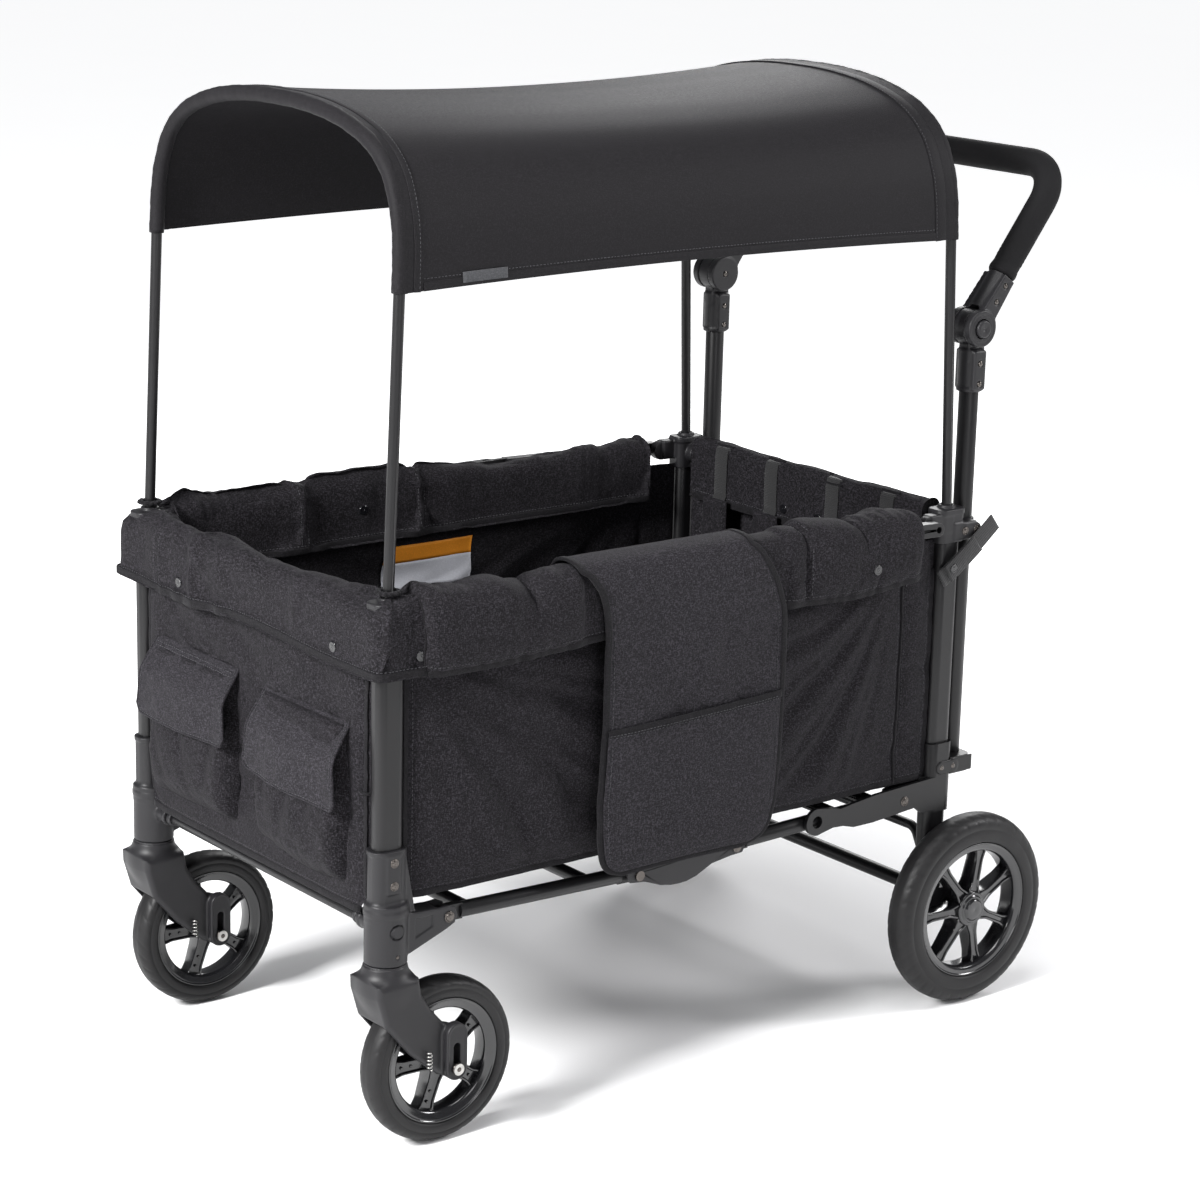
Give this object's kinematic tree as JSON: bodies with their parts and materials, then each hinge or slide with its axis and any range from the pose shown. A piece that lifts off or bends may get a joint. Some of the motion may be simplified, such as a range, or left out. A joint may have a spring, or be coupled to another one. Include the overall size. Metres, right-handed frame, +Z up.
{
  "type": "kids pull wagon",
  "caption": "Folding pull wagon for small children: padded fabric tub on a tube frame, facing seats, arched sun canopy, sprung swivel front wheels and a tilting push handle.",
  "frame": {"origin": "on the floor under the middle of the wagon's bounding box", "axes": "+Z up, -Y towards the front (the swivelling casters), +X to the wagon's left"},
  "size_m": [0.632, 1.0994, 1.1963],
  "materials": {
    "frame_paint": "satin charcoal powder coat on tube and bracket",
    "black_plastic": "moulded, fine grain",
    "rim_plastic": "gloss black moulded wheel",
    "tyre_rubber": "solid black foam rubber with shallow tread",
    "grip_foam": "matte foam sleeve",
    "heather_fabric": "charcoal heather weave",
    "light_heather": "lighter charcoal heather weave",
    "canopy_fabric": "smooth charcoal canopy cloth",
    "webbing": "black webbing",
    "dark_steel": "dark bronze rivets and pins",
    "bright_steel": "zinc-plated axle and spring"
  },
  "bodies": {
    "rear_frame": {"rear_posts": "frame_paint", "rear_feet": "black_plastic", "rear_axle_beam": "frame_paint", "rear_lower_brackets": "frame_paint", "rear_top_brackets": "black_plastic", "handle_uprights": "frame_paint", "handle_bases": "black_plastic", "rear_cross_tubes": "frame_paint", "rear_wall_panel": "heather_fabric", "rear_rim_pad": "heather_fabric", "webbing_straps": "webbing", "side_panels": "heather_fabric", "side_rim_pads": "heather_fabric", "organiser_flap": "light_heather", "rear_frame_rivets": "dark_steel"},
    "rear_floor_frame": {"rear_floor_tubes": "frame_paint", "rear_floor_board": "heather_fabric"},
    "centre_floor_frame": {"centre_floor_link": "black_plastic", "centre_pivot_pins": "dark_steel", "centre_floor_board": "heather_fabric"},
    "front_floor_frame": {"front_floor_tubes": "frame_paint", "front_floor_board": "heather_fabric"},
    "front_frame": {"front_posts": "frame_paint", "front_brackets": "black_plastic", "front_top_brackets": "black_plastic", "front_cross_tubes": "frame_paint", "front_wall_panel": "heather_fabric", "front_rim_pad": "heather_fabric", "cargo_pockets": "light_heather", "front_frame_rivets": "dark_steel"},
    "rear_rails": {"rear_top_rails": "frame_paint"},
    "centre_rails": {"centre_top_rails": "frame_paint"},
    "front_rails": {"front_top_rails": "frame_paint"},
    "rear_seat": {"rear_seat": "heather_fabric"},
    "front_seat": {"front_seat": "heather_fabric"},
    "handle": {"handle_bar": "frame_paint", "handle_grip": "grip_foam", "handle_hubs": "black_plastic"},
    "handle_button_left": {"handle_button_left": "black_plastic"},
    "handle_button_right": {"handle_button_right": "black_plastic"},
    "caster_button_left": {"caster_button_left": "black_plastic"},
    "caster_button_right": {"caster_button_right": "black_plastic"},
    "caster_left": {"caster_fork_left": "black_plastic", "front_springs_left": "bright_steel"},
    "caster_right": {"caster_fork_right": "black_plastic", "front_springs_right": "bright_steel"},
    "front_axle_left": {"front_axle_left": "bright_steel"},
    "front_axle_right": {"front_axle_right": "bright_steel"},
    "front_wheel_left": {"front_rim_left": "rim_plastic", "front_tyre_left": "tyre_rubber"},
    "front_wheel_right": {"front_rim_right": "rim_plastic", "front_tyre_right": "tyre_rubber"},
    "rear_wheel_left": {"rear_rim_left": "rim_plastic", "rear_tyre_left": "tyre_rubber"},
    "rear_wheel_right": {"rear_rim_right": "rim_plastic", "rear_tyre_right": "tyre_rubber"},
    "brake": {"brake_bar": "frame_paint"},
    "rear_canopy": {"rear_canopy_hoop": "frame_paint", "canopy_cover": "canopy_fabric"},
    "front_canopy": {"front_canopy_hoop": "frame_paint"}
  },
  "joints": [
    {"name": "fold", "type": "hinge", "parent": "rear_frame", "child": "rear_floor_frame", "pos_m": [0, 0.28633, 0.283], "axis": [-1, 0, 0], "range_deg": [0, 80], "deforming": ["side_panels", "side_rim_pads", "canopy_cover", "organiser_flap", "webbing_straps"]},
    {"name": "centre_floor_hinge", "type": "hinge", "parent": "rear_floor_frame", "child": "centre_floor_frame", "pos_m": [0, 0.00633, 0.276], "axis": [-1, 0, 0], "range_deg": [-80, 0]},
    {"name": "front_floor_hinge", "type": "hinge", "parent": "centre_floor_frame", "child": "front_floor_frame", "pos_m": [0, -0.14567, 0.269], "axis": [-1, 0, 0], "range_deg": [-80, 0]},
    {"name": "front_frame_hinge", "type": "hinge", "parent": "front_floor_frame", "child": "front_frame", "pos_m": [0, -0.42567, 0.276], "axis": [-1, 0, 0], "range_deg": [0, 80]},
    {"name": "rear_rail_hinge", "type": "hinge", "parent": "rear_frame", "child": "rear_rails", "pos_m": [0.283, 0.30933, 0.64], "axis": [1, 0, 0], "range_deg": [0, 80]},
    {"name": "centre_rail_hinge", "type": "hinge", "parent": "rear_rails", "child": "centre_rails", "pos_m": [0.283, 0.02933, 0.647], "axis": [1, 0, 0], "range_deg": [-80, 0]},
    {"name": "front_rail_hinge", "type": "hinge", "parent": "centre_rails", "child": "front_rails", "pos_m": [0.283, -0.18317, 0.647], "axis": [1, 0, 0], "range_deg": [-80, 0]},
    {"name": "rear_seat_hinge", "type": "hinge", "parent": "rear_frame", "child": "rear_seat", "pos_m": [0, 0.34233, 0.43], "axis": [-1, 0, 0], "range_deg": [0, 68.1]},
    {"name": "front_seat_hinge", "type": "hinge", "parent": "front_frame", "child": "front_seat", "pos_m": [0, -0.49617, 0.43], "axis": [1, 0, 0], "range_deg": [0, 68.1]},
    {"name": "handle_tilt", "type": "hinge", "parent": "rear_frame", "child": "handle", "pos_m": [0, 0.38533, 0.885], "axis": [1, 0, 0], "range_deg": [-80, 30]},
    {"name": "handle_button_left_press", "type": "slide", "parent": "handle", "child": "handle_button_left", "axis": [-1, 0, 0], "range_m": [0, 0.004]},
    {"name": "handle_button_right_press", "type": "slide", "parent": "handle", "child": "handle_button_right", "axis": [1, 0, 0], "range_m": [0, 0.004]},
    {"name": "caster_button_left_press", "type": "slide", "parent": "front_frame", "child": "caster_button_left", "axis": [-1, 0, 0], "range_m": [0, 0.003]},
    {"name": "caster_button_right_press", "type": "slide", "parent": "front_frame", "child": "caster_button_right", "axis": [1, 0, 0], "range_m": [0, 0.003]},
    {"name": "brake_tilt", "type": "hinge", "parent": "rear_frame", "child": "brake", "pos_m": [0, 0.38433, 0.127], "axis": [-1, 0, 0], "range_deg": [0, 20]},
    {"name": "rear_canopy_lift", "type": "slide", "parent": "rear_frame", "child": "rear_canopy", "axis": [0, 0, 1], "range_m": [0, 0.04]},
    {"name": "front_canopy_lift", "type": "slide", "parent": "front_frame", "child": "front_canopy", "axis": [0, 0, 1], "range_m": [0, 0.04]},
    {"name": "caster_swivel_left", "type": "hinge", "parent": "front_frame", "child": "caster_left", "pos_m": [0.26, -0.50317, 0.234], "axis": [0, 0, 1], "continuous": true},
    {"name": "suspension_left", "type": "slide", "parent": "caster_left", "child": "front_axle_left", "axis": [0, 0, 1], "range_m": [0, 0.008], "deforming": ["front_springs_left"]},
    {"name": "front_wheel_spin_left", "type": "hinge", "parent": "front_axle_left", "child": "front_wheel_left", "pos_m": [0.26, -0.43167, 0.1], "axis": [1, 0, 0], "continuous": true},
    {"name": "rear_wheel_spin_left", "type": "hinge", "parent": "rear_frame", "child": "rear_wheel_left", "pos_m": [0.296, 0.38433, 0.127], "axis": [1, 0, 0], "continuous": true},
    {"name": "caster_swivel_right", "type": "hinge", "parent": "front_frame", "child": "caster_right", "pos_m": [-0.26, -0.50317, 0.234], "axis": [0, 0, 1], "continuous": true},
    {"name": "suspension_right", "type": "slide", "parent": "caster_right", "child": "front_axle_right", "axis": [0, 0, 1], "range_m": [0, 0.008], "deforming": ["front_springs_right"]},
    {"name": "front_wheel_spin_right", "type": "hinge", "parent": "front_axle_right", "child": "front_wheel_right", "pos_m": [-0.26, -0.43167, 0.1], "axis": [1, 0, 0], "continuous": true},
    {"name": "rear_wheel_spin_right", "type": "hinge", "parent": "rear_frame", "child": "rear_wheel_right", "pos_m": [-0.296, 0.38433, 0.127], "axis": [1, 0, 0], "continuous": true}
  ],
  "couplings": [
    {"joint": "centre_floor_hinge", "follows": "fold", "ratio": -1},
    {"joint": "front_floor_hinge", "follows": "fold", "ratio": -1},
    {"joint": "front_frame_hinge", "follows": "fold", "ratio": 1},
    {"joint": "rear_rail_hinge", "follows": "fold", "ratio": 1},
    {"joint": "centre_rail_hinge", "follows": "fold", "ratio": -1},
    {"joint": "front_rail_hinge", "follows": "fold", "ratio": -1},
    {"joint": "rear_seat_hinge", "follows": "fold", "ratio": 0.85},
    {"joint": "front_seat_hinge", "follows": "fold", "ratio": 0.85},
    {"joint": "front_canopy_lift", "follows": "rear_canopy_lift", "ratio": 1}
  ]
}
